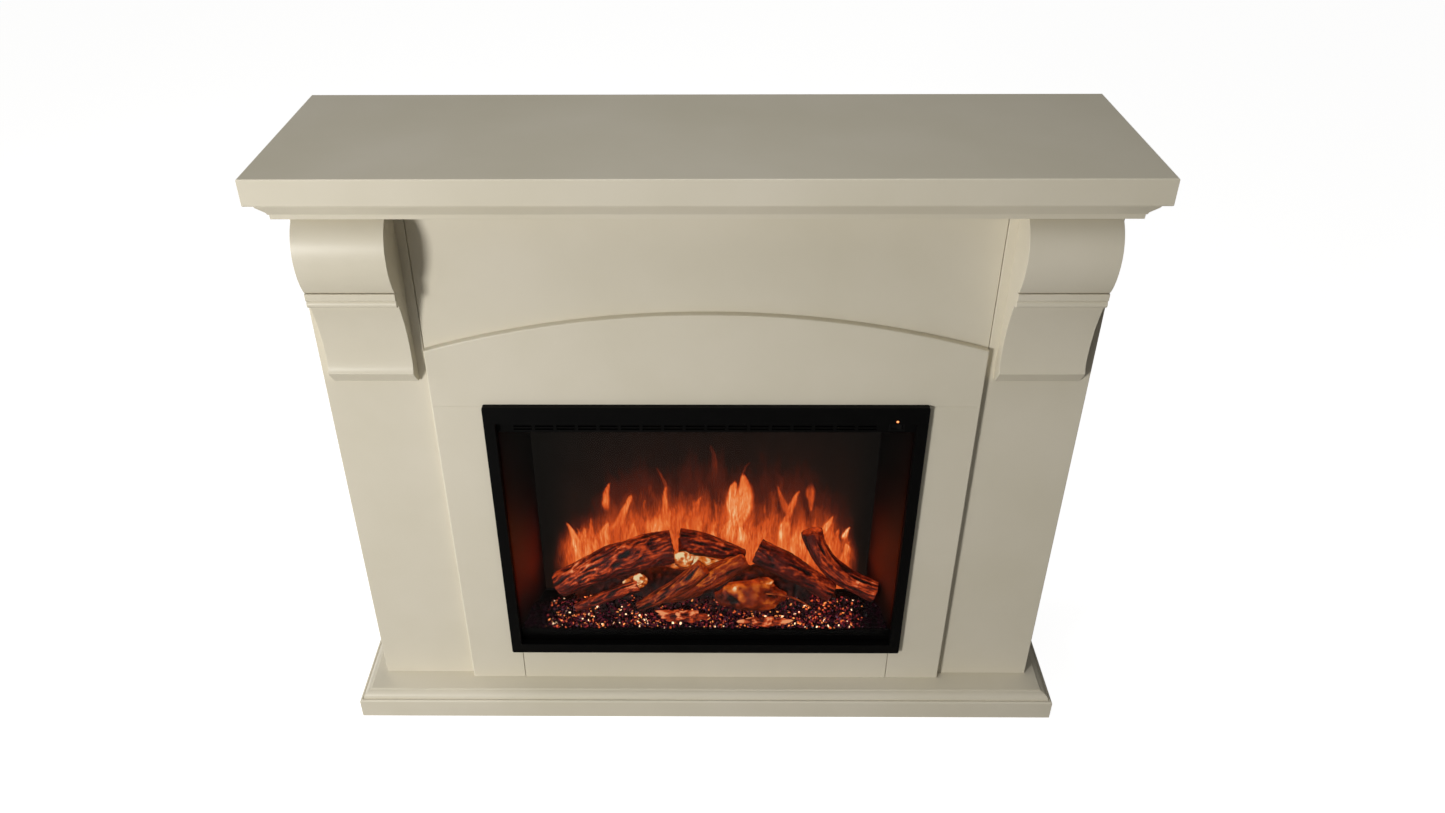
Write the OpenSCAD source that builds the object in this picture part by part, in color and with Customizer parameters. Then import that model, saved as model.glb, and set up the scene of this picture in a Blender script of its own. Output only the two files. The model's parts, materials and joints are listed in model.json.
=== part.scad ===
// Electric fireplace: a painted board mantel surround with a shelf, two corbelled legs,
// an arched front panel and a moulded plinth, around a framed electric flame insert.
// Millimetres, +Z up, front towards -Y. The origin is on the floor, under the middle
// of the overall box.

/* [Shelf] */
// Width of the shelf slab
shelf_w = 1524; // [1500:2:1560]
// Depth of the shelf slab, from the wall to its front edge
shelf_d = 427; // [415:1:440]
// Height of the shelf top above the floor
total_h = 1303; // [1295:1:1320]
// Thickness of the shelf slab
shelf_t = 48; // [36:1:54]
// Chamfer that eases the slab's edges
shelf_ease = 1.5; // [0.5:0.5:3]
// Height of the crown moulding under the slab
crown_h = 35; // [34:1:38]
// Inset of the crown's lower fascia from the slab's edge
crown_in = 30; // [30:1:32]

/* [Legs and panels] */
// Half of the width over both legs
leg_out_x = 730; // [726:1:734]
// Width of each leg
leg_w = 200; // [190:1:210]
// Distance of the legs' front faces from the wall
leg_d = 320; // [310:1:330]
// Thickness of the structural boards
board_t = 18; // [16:1:19]
// Half of the width of the arched front panel
arch_half = 528; // [524:1:529]
// Thickness of the arched front panel, which stands proud of the legs
arch_t = 15; // [12:1:16]
// Height of the arched panel at its outer corners
arch_side_z = 926; // [915:1:940]
// Height of the arched panel at its middle
arch_top_z = 1003; // [980:1:1020]
// Half of the length of the rail below the insert
seam_half = 410; // [400:1:415]

/* [Corbels] */
// Width of a corbel
corbel_w = 160; // [150:1:175]
// Distance that the belly stands out from the leg
belly_p = 85.5; // [80:0.5:90]
// Distance that the middle of the lower scroll stands out
scroll_p = 26; // [22:1:30]
// Distance that the foot of the corbel stands out
foot_p = 33; // [30:1:38]

/* [Plinth] */
// Half of the width of the plinth
plinth_half = 778; // [770:1:786]
// Depth of the plinth from the wall
plinth_d = 395; // [385:1:405]
// Height of the plinth's flat top
plinth_h = 64; // [62:1:70]
// Height of the vertical face below the plinth's moulded edge
plinth_face = 44; // [42:1:46]
// Width of the plinth's moulding
plinth_m = 24; // [24:1:26]

/* [Insert] */
// Half of the width of the insert's trim frame
trim_half = 430; // [428:1:436]
// Height of the trim frame's lower edge
trim_z0 = 153; // [150:1:154]
// Height of the trim frame's upper edge
trim_z1 = 808; // [806:1:814]
// Distance that the trim frame stands out from the arched panel
trim_t = 12; // [8:1:14]
// Width of the trim frame's side members
trim_side = 22; // [20:1:22]
// Height of the trim frame's upper member
trim_top = 38; // [34:1:40]
// Height of the trim frame's lower member
trim_bottom = 25; // [22:1:28]
// Depth of the steel casing
case_d = 205; // [205:1:215]
// Distance from the casing's front edges to the flame screen
screen_d = 150; // [150:1:152]

/* [Hidden] */

// Planes, from the wall forwards
wall_y = shelf_d / 2;
front_y = -shelf_d / 2;
leg_y = wall_y - leg_d;
arch_y = leg_y - arch_t;
trim_y = arch_y - trim_t;
plinth_y = wall_y - plinth_d;
case_back_y = arch_y + case_d;
screen_y = arch_y + screen_d;

// Heights
slab_z = total_h - shelf_t;
crown_z = slab_z - crown_h;
open_z0 = trim_z0 + 6;
open_z1 = trim_z1 - 5;
heater_z = trim_z1 - 65;
bed_z = 192;

// Widths
shelf_half = shelf_w / 2;
leg_in_x = leg_out_x - leg_w;
open_half = trim_half - 10;
case_half = open_half - 6;
case_in = case_half - 2;
crown_m = crown_in + 20;
corbel_x = leg_out_x - leg_w / 2 - 3;
liner_front_x = case_in - 1;
liner_back_x = case_in - 39;
liner_y0 = arch_y + 8;

// Moving parts of the insert
wheel_y = arch_y + 75;
wheel_z = heater_z + 29;
wheel_r = 20;
wheel_len = 240;
shaft_r = 3;
rod_y = arch_y + 178;
rod_z = 240;
rod_r = 3;
fit = 0.05;
rocker_x = 372;
rocker_z = heater_z + 13.5;
rocker_y = arch_y + 5;
lens_x = 370;
lens_z = trim_z1 - 32;

// Fittings of the casing; each screw of the rear cover is [x, z]
gland_x = 350;
gland_z = 200;
cover_holes = [for (x = [-396, -132, 132, 396], z = [open_z0 + 14, open_z1 - 16]) [x, z]];

paint = "#c9c2ae";
black = "#141414";
steel = "#8d9094";
bark = "#5a2f1c";

// Box between two corners
module block(x0, x1, y0, y1, z0, z1)
    translate([x0, y0, z0])
        cube([x1 - x0, y1 - y0, z1 - z0]);

// The children, and their mirror image on the other side of the middle plane
module both_sides() {
    children();
    mirror([1, 0, 0])
        children();
}

// A [y, z] outline drawn out along +X
module along_x(x0, x1)
    translate([x0, 0, 0])
        rotate([90, 0, 90])
            linear_extrude(x1 - x0)
                children();

// An [x, z] outline drawn out along +Y
module along_y(y0, y1)
    translate([0, y1, 0])
        rotate([90, 0, 0])
            linear_extrude(y1 - y0)
                children();

// An [x, y] outline drawn out along +Z
module along_z(z0, z1)
    translate([0, 0, z0])
        linear_extrude(z1 - z0)
            children();

// Cylinder along X or along Y
module rod_x(x0, x1, y, z, r)
    translate([x0, y, z])
        rotate([0, 90, 0])
            cylinder(h = x1 - x0, r = r, $fn = 48);

module rod_along_y(x, y0, y1, z, r)
    translate([x, y1, z])
        rotate([90, 0, 0])
            cylinder(h = y1 - y0, r = r, $fn = 48);

// Points of an elliptical arc, from angle a0 to angle a1
function arc(cx, cy, rx, ry, a0, a1, n) =
    [for (i = [0 : n]) let (a = a0 + (a1 - a0) * i / n) [cx + rx * cos(a), cy + ry * sin(a)]];

// Crown moulding as [inset from the slab's edge, height]: a fillet, a sloped face that
// turns steep at both ends, a step and the lower fascia
function crown_outline() =
    [[crown_m, slab_z], [13, slab_z], [13, slab_z - 4], [14.5, slab_z - 8],
     [crown_in - 3.5, slab_z - 22], [crown_in - 2, slab_z - 26], [crown_in, slab_z - 26],
     [crown_in, crown_z], [crown_m, crown_z]];

// Plinth moulding as [inset from the plinth's edge, height]: the flat face, a bead,
// a quirk, an ovolo and a small upper fillet
function plinth_outline() = concat(
    [[plinth_m, 0], [0, 0], [0, plinth_face - 1]],
    arc(4, plinth_face, 4, 4.5, 180, 70, 8),
    [[6.5, plinth_face + 2]],
    arc(22, plinth_h - 14, 14, 11.5, 175, 95, 10),
    [[22.5, plinth_h - 2.2], [22.5, plinth_h - 1], [plinth_m, plinth_h - 1]]);

// A moulding across the front and one along the right side, mitred at the corner
module moulding_front(half, y, m, outline)
    intersection() {
        along_x(-half, half)
            polygon([for (p = outline) [y + p[0], p[1]]]);
        along_z(-1, total_h)
            polygon([[-half, y], [half, y], [half - m, y + m], [m - half, y + m]]);
    }

module moulding_right(half, y, m, outline)
    intersection() {
        along_y(y, wall_y)
            polygon([for (p = outline) [half - p[0], p[1]]]);
        along_z(-1, total_h)
            polygon([[half, y], [half, wall_y], [half - m, wall_y], [half - m, y + m]]);
    }

// ---- Mantel surround ----

module shelf_slab() {
    e = shelf_ease;
    color(paint)
    intersection() {
        along_x(-shelf_half, shelf_half)
            polygon([[wall_y, slab_z], [wall_y, total_h], [front_y + e, total_h],
                     [front_y, total_h - e], [front_y, slab_z + e], [front_y + e, slab_z]]);
        along_y(front_y, wall_y)
            polygon([[-shelf_half + e, slab_z], [shelf_half - e, slab_z],
                     [shelf_half, slab_z + e], [shelf_half, total_h - e],
                     [shelf_half - e, total_h], [-shelf_half + e, total_h],
                     [-shelf_half, total_h - e], [-shelf_half, slab_z + e]]);
    }
}

module crown_front()
    color(paint)
    moulding_front(shelf_half, front_y, crown_m, crown_outline());

module crown_returns()
    color(paint)
    both_sides()
        moulding_right(shelf_half, front_y, crown_m, crown_outline());

module sub_top()
    color(paint)
    block(crown_m - shelf_half, shelf_half - crown_m, front_y + crown_m, wall_y, crown_z, slab_z);

module header_panel()
    color(paint)
    block(-leg_in_x, leg_in_x, leg_y, leg_y + board_t, open_z1, crown_z);

// Upper part of the arched panel, with its segmental top
module arch_rail() {
    rise = arch_top_z - arch_side_z;
    arch_r = (arch_half * arch_half + rise * rise) / (2 * rise);
    color(paint)
    along_y(arch_y, leg_y)
        intersection() {
            translate([-arch_half, open_z1])
                square([2 * arch_half, arch_top_z - open_z1 + 1]);
            translate([0, arch_top_z - arch_r])
                circle(r = arch_r, $fn = 480);
        }
}

// Side member of the arched panel; it is wider below the insert's opening
module stile()
    along_y(arch_y, leg_y)
        polygon([[arch_half, plinth_h], [arch_half, open_z1], [open_half, open_z1],
                 [open_half, open_z0], [seam_half, open_z0], [seam_half, plinth_h]]);

module stile_left()
    color(paint)
    mirror([1, 0, 0])
        stile();

module stile_right()
    color(paint)
    stile();

module bottom_rail()
    color(paint)
    block(-seam_half, seam_half, arch_y, leg_y, plinth_h, open_z0);

// Boards behind the stiles that the insert's brackets hold on to
module opening_jambs()
    color(paint)
    both_sides()
        block(open_half + 20, leg_in_x, leg_y, leg_y + board_t, plinth_h, open_z1);

module leg_face()
    block(leg_in_x, leg_out_x, leg_y, leg_y + board_t, plinth_h, crown_z);

module leg_face_left()
    color(paint)
    mirror([1, 0, 0])
        leg_face();

module leg_face_right()
    color(paint)
    leg_face();

module leg_returns()
    color(paint)
    both_sides()
        block(leg_in_x, leg_in_x + board_t, leg_y + board_t, wall_y, plinth_h, crown_z);

module side_panel()
    block(leg_out_x - board_t, leg_out_x, leg_y + board_t, wall_y, plinth_h, crown_z);

module side_panel_left()
    color(paint)
    mirror([1, 0, 0])
        side_panel();

module side_panel_right()
    color(paint)
    side_panel();

// Corbel as [projection from the leg, height]: the belly, the neck that takes the bead,
// the hollow lower scroll, its flared foot and the slanted return to the leg
function corbel_outline() =
    let (belly_z = crown_z - 76, neck_z = crown_z - 146, bead_z = crown_z - 178,
         scroll_z = crown_z - 305, foot_z = crown_z - 332, r = 313)
    concat(
        [[0, crown_z]],
        arc(16, belly_z, belly_p - 16, 78, 77, 0, 18),
        arc(16, belly_z, belly_p - 16, 97, -3, -46, 12),
        [[56, neck_z], [56, bead_z], [scroll_p + 25, bead_z]],
        arc(scroll_p + r, scroll_z, r, r, 157, 180, 12),
        arc(foot_p + 1, scroll_z, foot_p - scroll_p + 1, 26, 180, 250, 6),
        [[foot_p, foot_z], [foot_p - 2, foot_z - 4], [8, foot_z - 31], [0, foot_z - 31]]);

module corbel()
    along_x(corbel_x - corbel_w / 2, corbel_x + corbel_w / 2)
        polygon([for (p = corbel_outline()) [leg_y - p[0], p[1]]]);

module corbel_left()
    color(paint)
    mirror([1, 0, 0])
        corbel();

module corbel_right()
    color(paint)
    corbel();

// Bead across the neck of each corbel: a small round reed under a flat fillet
module corbel_beads() {
    neck_z = crown_z - 146;
    outline = concat([[56, neck_z - 32]], arc(57, neck_z - 23.5, 8.5, 8, -78, 50, 10),
                     [[64.5, neck_z - 16], [66.5, neck_z - 14], [67, neck_z - 1],
                      [56, neck_z - 1]]);
    color(paint)
    both_sides()
        along_x(corbel_x - corbel_w / 2, corbel_x + corbel_w / 2)
            polygon([for (p = outline) [leg_y - p[0], p[1]]]);
}

module plinth_board()
    color(paint)
    block(plinth_m - plinth_half, plinth_half - plinth_m, plinth_y + plinth_m, wall_y,
          plinth_h - board_t, plinth_h);

module plinth_mould_front()
    color(paint)
    moulding_front(plinth_half, plinth_y, plinth_m, plinth_outline());

module plinth_mould_returns()
    color(paint)
    both_sides()
        moulding_right(plinth_half, plinth_y, plinth_m, plinth_outline());

// Bearers under the plinth board
module plinth_blocks()
    color("#b79c6e")
    for (x = [-620, 0, 620])
        block(x - 30, x + 30, plinth_y + 40, wall_y - 10, 0, plinth_h - board_t);

// Board that the insert stands on
module insert_shelf()
    color(paint)
    block(-leg_in_x, leg_in_x, leg_y + board_t, wall_y - 60, open_z0 - board_t, open_z0);

// Stretchers across the open back
module back_rails()
    color(paint)
    for (z = [plinth_h, crown_z - 150])
        block(-leg_in_x, leg_in_x, wall_y - board_t, wall_y, z, z + 70);

// Angle brackets that hold the mantel to the wall
module wall_brackets()
    color(steel)
    for (x = [-400, 400])
        difference() {
            along_x(x - 20, x + 20)
                polygon([[wall_y, crown_z], [wall_y, crown_z - 50], [wall_y - 3, crown_z - 50],
                         [wall_y - 3, crown_z - 3], [wall_y - 40, crown_z - 3],
                         [wall_y - 40, crown_z]]);
            rod_along_y(x, wall_y - 5, wall_y + 1, crown_z - 30, 3);
            translate([x, wall_y - 24, crown_z - 4])
                cylinder(h = 5, r = 2.5, $fn = 32);
        }

// ---- Insert ----

// Deep pressed frame with small rounded corners, hollow at the back of its sides and its
// top, and with a hole for the indicator
module trim_frame() {
    r = 4;
    skin = 3;
    land = 11;
    z_mid = (trim_z0 + trim_z1) / 2;
    h = trim_z1 - trim_z0;
    color(black)
    difference() {
        along_y(trim_y, arch_y)
            difference() {
                union() {
                    translate([0, z_mid])
                        square([2 * trim_half, h - 2 * r], center = true);
                    translate([0, z_mid])
                        square([2 * (trim_half - r), h], center = true);
                    for (x = [r - trim_half, trim_half - r], z = [trim_z0 + r, trim_z1 - r])
                        translate([x, z])
                            circle(r = r, $fn = 32);
                }
                translate([trim_side - trim_half, trim_z0 + trim_bottom])
                    square([2 * (trim_half - trim_side), h - trim_top - trim_bottom]);
            }
        both_sides()
            block(trim_half - 15, trim_half - skin, trim_y + skin, arch_y + 1,
                  trim_z0 + land, trim_z1 - land);
        block(15 - trim_half, trim_half - 15, trim_y + skin, arch_y + 1,
              trim_z1 - 26, trim_z1 - land);
        rod_along_y(lens_x, trim_y - 1, arch_y + 1, lens_z, 2.6);
    }
}

module front_glass()
    color("#20242655")
    block(1 - case_in, case_in - 1, arch_y + 3, arch_y + 7, trim_z0 + 15, heater_z);

// Rubber strips between the trim frame and the glass, at the two sides and the foot
module glass_gasket() {
    x1 = case_in - 1;
    x0 = trim_half - trim_side + 0.5;
    color("#101010")
    union() {
        both_sides()
            block(x0, x1, arch_y, arch_y + 3, trim_z0 + 15, heater_z);
        block(-x1, x1, arch_y, arch_y + 3, trim_z0 + 15, trim_z0 + trim_bottom - 1);
    }
}

// Louvred strip that the warm air leaves by, above the glass
module outlet_grille() {
    slot_w = 36;
    pitch = 42;
    count = 17;
    color(black)
    difference() {
        block(1 - case_in, case_in - 1, arch_y + 1, arch_y + 7, heater_z, trim_z1 - 12);
        for (i = [0 : count - 1], z = [heater_z + 5, heater_z + 12, heater_z + 19])
            block((i - count / 2) * pitch - slot_w / 2, (i - count / 2) * pitch + slot_w / 2,
                  arch_y, arch_y + 8, z, z + 3.5);
        block(rocker_x - 15.2, rocker_x + 15.2, arch_y, arch_y + 8,
              rocker_z - 10.2, rocker_z + 10.2);
    }
}

// Folded sheet panels of the casing: top, bottom and the two sides
module case_panels()
    color("#2a2b2c")
    union() {
        block(-case_half, case_half, arch_y, case_back_y, open_z0, open_z0 + 2);
        block(-case_half, case_half, arch_y, case_back_y, open_z1 - 4, open_z1 - 2);
        both_sides()
            block(case_in, case_half, arch_y, case_back_y, open_z0 + 2, open_z1 - 4);
    }

module rear_cover() {
    color("#3a3b3c")
    difference() {
        block(-case_half, case_half, case_back_y, case_back_y + 2, open_z0, open_z1 - 2);
        rod_along_y(gland_x, case_back_y - 1, case_back_y + 3, gland_z, 8.1);
        for (h = cover_holes)
            rod_along_y(h[0], case_back_y - 1, case_back_y + 3, h[1], 2.1);
        for (i = [-9 : 9])
            block(i * 24 - 3, i * 24 + 3, case_back_y - 1, case_back_y + 3,
                  open_z1 - 50, open_z1 - 28);
    }
}

module cover_screws()
    color(steel)
    for (h = cover_holes)
        difference() {
            union() {
                rod_along_y(h[0], case_back_y + 2, case_back_y + 4, h[1], 3.8);
                rod_along_y(h[0], case_back_y - 7, case_back_y + 2, h[1], 1.9);
            }
            block(h[0] - 3, h[0] + 3, case_back_y + 3.2, case_back_y + 5, h[1] - 0.5, h[1] + 0.5);
            block(h[0] - 0.5, h[0] + 0.5, case_back_y + 3.2, case_back_y + 5, h[1] - 3, h[1] + 3);
        }

// Bushing for the mains lead
module cable_gland()
    color(black)
    difference() {
        union() {
            rod_along_y(gland_x, case_back_y - 10, case_back_y + 14, gland_z, 8);
            rod_along_y(gland_x, case_back_y + 2, case_back_y + 6, gland_z, 12);
            rod_along_y(gland_x, case_back_y - 6, case_back_y, gland_z, 11);
        }
        rod_along_y(gland_x, case_back_y - 11, case_back_y + 15, gland_z, 4);
    }

// Sheet that divides the fire chamber from the heater above it
module heater_shelf()
    color(steel)
    block(0.5 - case_in, case_in - 0.5, arch_y + 8, case_back_y - 1, heater_z, heater_z + 2);

// Splayed side walls of the fire chamber
module side_liners() {
    y0 = liner_y0 + 2.5;
    color("#1b1512")
    both_sides()
        along_z(bed_z + 5, heater_z)
            polygon([[liner_front_x, y0], [liner_front_x - 2, y0],
                     [liner_back_x - 2, screen_y - 1], [liner_back_x, screen_y - 1]]);
}

module flame_screen()
    color("#3a1408")
    block(-liner_back_x, liner_back_x, screen_y, screen_y + 3, bed_z + 5, heater_z);

module ember_tray()
    color(black)
    along_x(2 - case_in, case_in - 2)
        polygon([[liner_y0, trim_z0 + 20], [liner_y0 + 2, trim_z0 + 20],
                 [liner_y0 + 2, bed_z - 2], [screen_y - 1, bed_z - 2], [screen_y - 1, bed_z],
                 [liner_y0 + 2, bed_z], [liner_y0 + 2, bed_z + 14], [liner_y0, bed_z + 14]]);

// Half of the clear width between the liners, d behind the casing's front
function clear_x(d) = liner_front_x - 3 - (liner_front_x - liner_back_x) * (d - 8) / (screen_d - 9);

// Bed of glass embers
module ember_bed()
    color("#7a2a12")
    along_z(bed_z, bed_z + 12)
        polygon([[-clear_x(12), arch_y + 12], [clear_x(12), arch_y + 12],
                 [clear_x(146), arch_y + 146], [-clear_x(146), arch_y + 146]]);

// A log as a tapered round bar; each end is [x, distance behind the casing's front, z]
module log_bar(a, b, ra, rb) {
    v = b - a;
    len = norm(v);
    translate([a[0], arch_y + a[1], a[2]])
        rotate([0, acos(v[2] / len), atan2(v[1], v[0])])
            cylinder(h = len, r1 = ra, r2 = rb, $fn = 24);
}

// Each log as its two ends and its two radii; g makes it larger all round
module log_large_bar(g = 0)
    log_bar([-338, 70, 272], [-78, 108, 384], 33 + g, 34 + g);

module log_back_bar(g = 0)
    log_bar([-44, 120, 370], [70, 124, 322], 24 + g, 15 + g);

module log_fork_bars(g = 0) {
    log_bar([-146, 36, 250], [3, 62, 345], 15 + g, 19 + g);
    log_bar([-84, 66, 266], [80, 86, 330], 21 + g, 20 + g);
}

module log_right_bar(g = 0)
    log_bar([104, 108, 344], [276, 62, 276], 27 + g, 27 + g);

module log_upright_bar(g = 0)
    log_bar([232, 118, 388], [366, 64, 262], 24 + g, 23 + g);

module log_low_bar(g = 0)
    log_bar([-290, 38, 246], [-150, 62, 282], 14 + g, 14 + g);

// A rounded lump along X
module lump(x0, x1, d, z, r) {
    rod_x(x0, x1, arch_y + d, z, r);
    for (x = [x0, x1])
        translate([x, arch_y + d, z])
            sphere(r = r, $fn = 24);
}

module lump_bars(g = 0) {
    lump(86, 154, 70, 238, 31 + g);
    lump(-176, -158, 88, 264, 13 + g);
    lump(-80, -10, 36, 217, 9 + g);
    lump(100, 184, 22, 217, 9 + g);
}

// Moulded bank of ash that the logs are seated in
module log_base() {
    gap = 0.5;
    color("#2a130c")
    difference() {
        along_x(-300, 300)
            polygon([[arch_y + 52, bed_z + 12], [arch_y + 70, bed_z + 34],
                     [arch_y + 104, bed_z + 84], [arch_y + 145, bed_z + 96],
                     [arch_y + 145, bed_z + 12]]);
        log_large_bar(gap);
        log_back_bar(gap);
        log_fork_bars(gap);
        log_right_bar(gap);
        log_upright_bar(gap);
        log_low_bar(gap);
        lump_bars(gap);
    }
}

module log_large()
    color(bark)
    log_large_bar();

module log_back()
    color(bark)
    log_back_bar();

module log_fork()
    color("#8a5224")
    log_fork_bars();

module log_right()
    color(bark)
    log_right_bar();

module log_upright()
    color(bark)
    log_upright_bar();

module log_low()
    color(bark)
    log_low_bar();

module ember_lumps()
    color("#c8622a")
    lump_bars();

// Circuit strip with a row of lamps
module led_strip(y)
    union() {
        block(-300, 300, y - 8, y + 8, open_z0 + 8, open_z0 + 10);
        for (x = [-280 : 56 : 280])
            translate([x, y, open_z0 + 10])
                cylinder(h = 4, r = 2.5, $fn = 24);
    }

// The strips under the ember bed and behind the flame screen
module led_bars()
    color("#e8e2d0") {
        led_strip(arch_y + 68);
        led_strip(rod_y);
    }

// Polished sheet that throws the flicker on to the flame screen
module flame_reflector()
    color(steel)
    block(-368, 368, case_back_y - 6, case_back_y - 4.5, open_z0 + 110, heater_z - 4);

// Turning rod with foil blades
module flicker_rod() {
    blades = 22;
    pitch = 30;
    color("#c9ccd0")
    union() {
        rod_x(-352, 350, rod_y, rod_z, rod_r);
        for (i = [0 : blades - 1])
            translate([(i - (blades - 1) / 2) * pitch, rod_y, rod_z])
                rotate([i * 40, 0, 0])
                    cube([22, 26, 0.8], center = true);
    }
}

module flicker_motor()
    color(steel)
    difference() {
        union() {
            rod_x(340, 362, rod_y, rod_z, 18);
            block(336, 340, rod_y - 18, rod_y + 18, open_z0 + 2, rod_z + 20);
        }
        rod_x(335, 352, rod_y, rod_z, rod_r + fit);
    }

module flicker_bearing()
    color("#d8d2c0")
    difference() {
        block(-350, -342, rod_y - 14, rod_y + 14, open_z0 + 2, rod_z + 14);
        rod_x(-351, -341, rod_y, rod_z, rod_r + fit);
    }

// Cross-flow fan wheel with its shaft
module blower_wheel() {
    blades = 18;
    half = wheel_len / 2;
    color("#b9bcc0")
    union() {
        rod_x(-half - 14, half + 24, wheel_y, wheel_z, shaft_r);
        for (x = [-half, -0.75, half - 1.5])
            rod_x(x, x + 1.5, wheel_y, wheel_z, wheel_r);
        for (i = [0 : blades - 1])
            translate([0, wheel_y, wheel_z])
                rotate([i * 360 / blades, 0, 0])
                    translate([0, wheel_r - 4, 0])
                        rotate([30, 0, 0])
                            cube([wheel_len, 5, 0.8], center = true);
    }
}

// Scroll that wraps the wheel, with a bearing plate at each end
module blower_housing() {
    x1 = wheel_len / 2 + 6;
    scroll = concat(arc(wheel_y, wheel_z, 24.5, 24.5, 60, -100, 24),
                    arc(wheel_y, wheel_z, 23, 23, -100, 60, 24));
    color(steel)
    difference() {
        union() {
            along_x(-x1, x1)
                polygon(scroll);
            for (x = [-x1 - 2, x1])
                block(x, x + 2, wheel_y - 30, wheel_y + 26, heater_z + 2, heater_z + 54);
        }
        rod_x(-x1 - 3, x1 + 3, wheel_y, wheel_z, shaft_r + fit);
    }
}

module blower_motor() {
    x0 = wheel_len / 2 + 8;
    color("#4a4d50")
    difference() {
        union() {
            rod_x(x0, x0 + 40, wheel_y, wheel_z, 22);
            block(x0, x0 + 34, wheel_y - 20, wheel_y + 20, heater_z + 2, wheel_z);
        }
        rod_x(x0 - 1, x0 + 17, wheel_y, wheel_z, shaft_r + fit);
    }
}

// Finned heater block behind the outlet
module heater_element()
    color("#b08d57")
    union() {
        block(-120, 120, arch_y + 16, arch_y + 19, heater_z + 6, heater_z + 50);
        block(-120, 120, arch_y + 29, arch_y + 32, heater_z + 6, heater_z + 50);
        for (i = [-11 : 11])
            block(i * 10 - 1, i * 10 + 1, arch_y + 19, arch_y + 29, heater_z + 8, heater_z + 48);
        for (x = [-124, 120])
            block(x, x + 4, arch_y + 14, arch_y + 34, heater_z + 2, heater_z + 52);
    }

// Circuit board with its transformer, relays and capacitors
module control_board()
    color("#2f6b45")
    union() {
        block(-390, -250, arch_y + 40, arch_y + 130, heater_z + 8, heater_z + 10);
        for (x = [-382, -262], y = [48, 118])
            block(x, x + 6, arch_y + y, arch_y + y + 6, heater_z + 2, heater_z + 8);
        block(-380, -340, arch_y + 60, arch_y + 95, heater_z + 10, heater_z + 42);
        for (i = [0 : 2])
            block(-325 + i * 24, -307 + i * 24, arch_y + 60, arch_y + 76, heater_z + 10, heater_z + 26);
        for (i = [0 : 1])
            translate([-318 + i * 26, arch_y + 104, heater_z + 10])
                cylinder(h = 22, r = 8, $fn = 32);
    }

// Housing of the mains switch, set into the outlet grille
module rocker_bezel()
    color(black)
    difference() {
        union() {
            block(rocker_x - 15, rocker_x + 15, arch_y + 0.5, arch_y + 7, rocker_z - 10, rocker_z + 10);
            block(rocker_x - 13, rocker_x + 13, arch_y + 8, arch_y + 24, heater_z + 2.5, rocker_z + 9);
            block(rocker_x - 13, rocker_x + 13, arch_y + 7, arch_y + 8, rocker_z - 9, rocker_z + 9);
        }
        block(rocker_x - 11, rocker_x + 11, arch_y - 1, arch_y + 14, rocker_z - 6, rocker_z + 6);
        translate([rocker_x, rocker_y, rocker_z - 8])
            cylinder(h = 16, r = 1.2 + fit, $fn = 32);
    }

// Mains switch key, drawn pressed in at its right end, which is on
module power_rocker() {
    tilt = 8;
    color("#202020")
    translate([rocker_x, rocker_y, rocker_z])
        rotate([0, 0, -tilt])
            union() {
                translate([0, 0, -5.6])
                    linear_extrude(11.2)
                        polygon([[-9.6, -4.6], [0, -3.2], [9.6, -4.6], [9.2, 1], [4, 3.5], [-4, 3.5],
                                 [-9.2, 1]]);
                translate([0, 0, -7.5])
                    cylinder(h = 15, r = 1.2, $fn = 32);
            }
}

module indicator_lens()
    color("#ff8a3c")
    rod_along_y(lens_x, trim_y - 0.8, arch_y, lens_z, 2.5);

// Angles that fasten the casing to the boards behind the stiles
module insert_brackets() {
    y0 = leg_y + board_t;
    color(steel)
    for (z = [300, 650])
        both_sides()
            along_z(z, z + 30)
                polygon([[case_half, y0], [open_half + 45, y0], [open_half + 45, y0 + 2],
                         [case_half + 2, y0 + 2], [case_half + 2, y0 + 30], [case_half, y0 + 30]]);
}

shelf_slab();
crown_front();
crown_returns();
sub_top();
header_panel();
arch_rail();
stile_left();
stile_right();
bottom_rail();
opening_jambs();
leg_face_left();
leg_face_right();
leg_returns();
side_panel_left();
side_panel_right();
corbel_left();
corbel_right();
corbel_beads();
plinth_board();
plinth_mould_front();
plinth_mould_returns();
plinth_blocks();
insert_shelf();
back_rails();
wall_brackets();
trim_frame();
front_glass();
glass_gasket();
outlet_grille();
case_panels();
rear_cover();
cover_screws();
cable_gland();
heater_shelf();
side_liners();
flame_screen();
ember_tray();
ember_bed();
log_base();
log_large();
log_back();
log_fork();
log_right();
log_upright();
log_low();
ember_lumps();
led_bars();
flame_reflector();
flicker_rod();
flicker_motor();
flicker_bearing();
blower_wheel();
blower_housing();
blower_motor();
heater_element();
control_board();
rocker_bezel();
power_rocker();
indicator_lens();
insert_brackets();
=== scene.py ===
import json
import math
import random

import bmesh
import bpy
import numpy as np
from mathutils import Matrix, Vector, noise


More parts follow.
